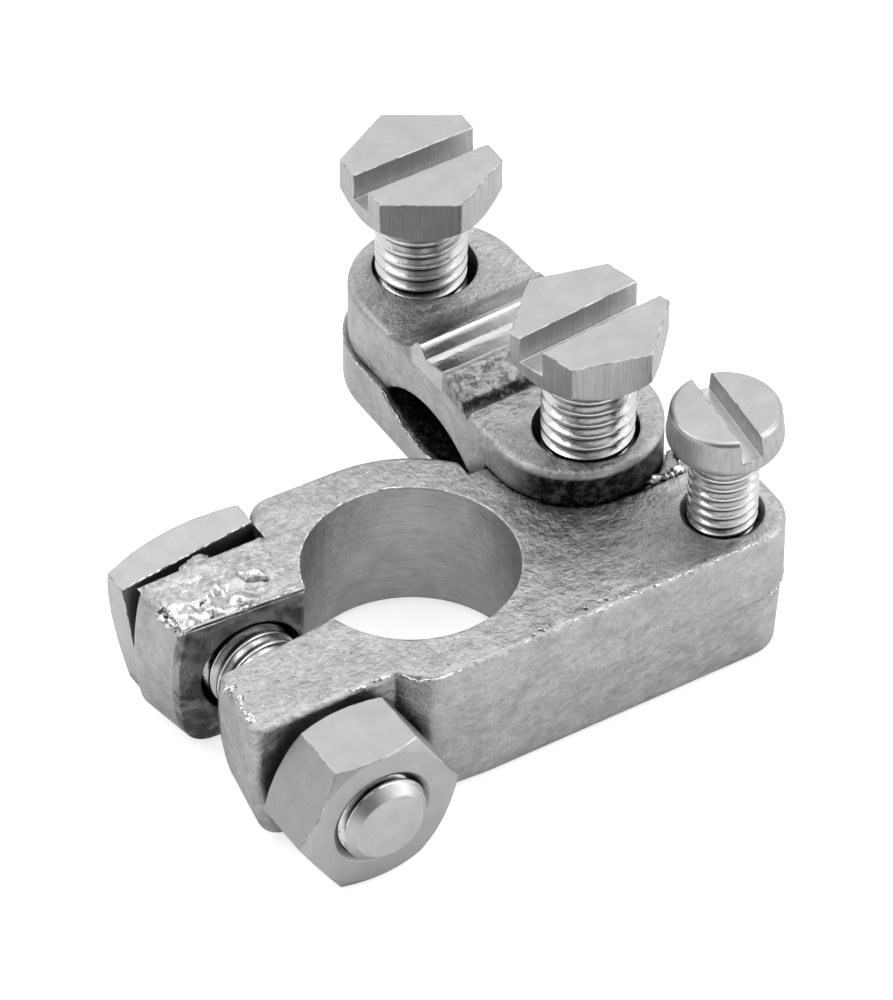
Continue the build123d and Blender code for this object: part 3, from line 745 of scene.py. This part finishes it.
def add_cap_burrs():
    """Uneven rims on the saddle's cap."""
    bm = bmesh.new()
    burr(bm, arc((18.95, 5.25), 7.36, 165, 345, 16.08), 0.07, 0.06)
    burr(bm, arc((18.45, 25.75), 7.36, 150, 215, 16.12), 0.05, 0.05)
    object_from("burrs_on_cap", bm, "cap", [SPLASH], 60)


def add_head_burr():
    """Burr along the square head's bearing edge."""
    bm = bmesh.new()
    turn = math.radians(7.7)
    rise, half_length = 6.18, 6.1
    middle = Vector((-14.07, 10.72, 6.45))
    along = Vector((math.cos(turn), 0, math.sin(turn)))
    top = Vector((-math.sin(turn), 0, math.cos(turn)))
    start = middle + top * rise - along * half_length
    burr(bm, [start, start + along * (2 * half_length)], 0.09, 0.06)
    object_from("burr_on_head", bm, "bolt", [SPLASH], 60)


add_ear_top()
add_casting_burrs()
add_cap_burrs()
add_head_burr()


# ---------------------------------------------------------------- stage, light and camera
class Tree:
    """Plain node tree of the floor or the world."""

    def __init__(self, owner, output):
        owner.use_nodes = True
        self.nodes = owner.node_tree.nodes
        self.links = owner.node_tree.links
        self.nodes.clear()
        self.output = self.nodes.new(output)
        self.path = self.nodes.new("ShaderNodeLightPath").outputs

    def math(self, operation, a, b, c=0.0):
        node = self.nodes.new("ShaderNodeMath")
        node.operation = operation
        for socket, value in zip(node.inputs, (a, b, c)):
            if isinstance(value, bpy.types.NodeSocket):
                self.links.new(value, socket)
            else:
                socket.default_value = value
        return node.outputs[0]

    def lobe(self, direction, low, high):
        """1 towards a direction, 0 away from it. low and high are cosines."""
        dot = self.nodes.new("ShaderNodeVectorMath")
        dot.operation = "DOT_PRODUCT"
        coords = self.nodes.new("ShaderNodeTexCoord")
        self.links.new(coords.outputs["Generated"], dot.inputs[0])
        dot.inputs[1].default_value = Vector(direction).normalized()
        span = self.nodes.new("ShaderNodeMapRange")
        span.interpolation_type = "SMOOTHSTEP"
        self.links.new(dot.outputs["Value"], span.inputs["Value"])
        span.inputs["From Min"].default_value = low
        span.inputs["From Max"].default_value = high
        return span.outputs[0]


def floor_material():
    """Pale floor that shows white and keeps the object's shadow."""
    material = bpy.data.materials.new("floor")
    tree = Tree(material, "ShaderNodeOutputMaterial")
    diffuse = tree.nodes.new("ShaderNodeBsdfDiffuse")
    diffuse.inputs["Color"].default_value = (0.85, 0.85, 0.85, 1)
    mirrored = tree.math("MAXIMUM", tree.path["Is Glossy Ray"], tree.path["Is Transmission Ray"])
    strength = tree.math("MULTIPLY", mirrored, MIRRORED_FLOOR)
    strength = tree.math("MULTIPLY_ADD", tree.path["Is Camera Ray"], SEEN_FLOOR, strength)
    lift = tree.nodes.new("ShaderNodeEmission")
    tree.links.new(strength, lift.inputs["Strength"])
    total = tree.nodes.new("ShaderNodeAddShader")
    tree.links.new(diffuse.outputs[0], total.inputs[0])
    tree.links.new(lift.outputs[0], total.inputs[1])
    tree.links.new(total.outputs[0], tree.output.inputs[0])
    return material


def build_world():
    """Soft studio: pale all round, with the darker and brighter lobes of SKY_LOBES."""
    world = bpy.data.worlds.new("studio")
    bpy.context.scene.world = world
    tree = Tree(world, "ShaderNodeOutputWorld")
    strength = 1.0
    for direction, low, high, gain in SKY_LOBES:
        strength = tree.math("MULTIPLY_ADD", tree.lobe(direction, low, high), gain, strength)
    strength = tree.math("MAXIMUM", strength, tree.path["Is Camera Ray"])
    light = tree.nodes.new("ShaderNodeBackground")
    light.inputs["Color"].default_value = (1, 1, 1, 1)
    tree.links.new(strength, light.inputs["Strength"])
    tree.links.new(light.outputs[0], tree.output.inputs[0])


def add_light(name, location, size, power):
    """A soft box in metres and watts that points at the object."""
    light = bpy.data.lights.new(name, "AREA")
    light.shape = "RECTANGLE"
    light.size, light.size_y = size
    light.energy = power
    lamp = bpy.data.objects.new(name, light)
    lamp.location = location
    lamp.rotation_euler = (Vector(LAMP_TARGET) - Vector(location)).to_track_quat("-Z", "Y").to_euler()
    bpy.context.scene.collection.objects.link(lamp)


last_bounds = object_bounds()
floor_z = last_bounds[0][2] - FLOOR_GAP
bpy.ops.mesh.primitive_plane_add(size=FLOOR_SIZE, location=(0, 0, floor_z))
floor = bpy.context.object
floor.name = "floor"
floor.data.materials.append(floor_material())
build_world()
add_light("left_box", (-0.35, 0.30, 0.55), (0.30, 0.4), 0.7)
add_light("right_box", (0.55, -0.30, 0.32), (0.30, 0.5), 0.9)

camera_data = bpy.data.cameras.new("camera")
camera_data.sensor_width = SENSOR_WIDTH
camera_data.lens = FOCAL_LENGTH
camera_data.clip_start = CLIP_START
camera_data.clip_end = CLIP_END
camera = bpy.data.objects.new("camera", camera_data)
right = Vector((0.849553, -0.527502, 0.000858))
above = Vector((0.356887, 0.575971, 0.735451))
ahead = Vector((0.388446, 0.624499, -0.677577))
camera.matrix_world = Matrix((
    (right.x, above.x, -ahead.x, CAMERA_AT.x),
    (right.y, above.y, -ahead.y, CAMERA_AT.y),
    (right.z, above.z, -ahead.z, CAMERA_AT.z),
    (0, 0, 0, 1),
))
bpy.context.scene.collection.objects.link(camera)
bpy.context.scene.camera = camera
bpy.context.scene.view_settings.view_transform = "Standard"
